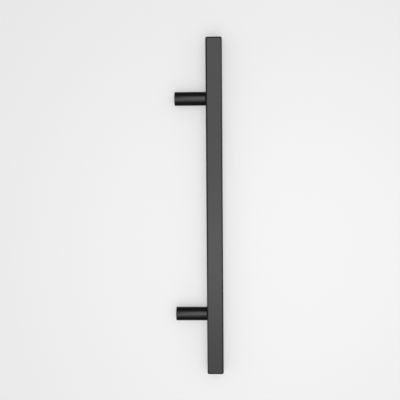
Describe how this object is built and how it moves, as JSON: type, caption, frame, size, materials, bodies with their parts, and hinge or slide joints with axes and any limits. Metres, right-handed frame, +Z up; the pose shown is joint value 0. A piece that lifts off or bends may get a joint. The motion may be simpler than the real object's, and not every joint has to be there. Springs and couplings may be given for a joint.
{
  "type": "door pull handle",
  "caption": "Straight square-bar door pull on round posts, with tapped posts for fixing through a door.",
  "frame": {"origin": "on the door face, midway between the two fixing holes", "axes": "+Z up along the bar, +Y into the door along the posts, X across the bar; the grip's front face looks towards -Y"},
  "size_m": [0.019, 0.055, 0.39],
  "materials": {
    "black_coating": "satin black powder coat with a very fine texture",
    "stud_steel": "plain machined steel, hidden inside the joints"
  },
  "bodies": {
    "root": {"pull_bar": "black_coating", "post_upper": "black_coating", "post_lower": "black_coating", "joining_stud_upper": "stud_steel", "joining_stud_lower": "stud_steel"}
  },
  "joints": []
}
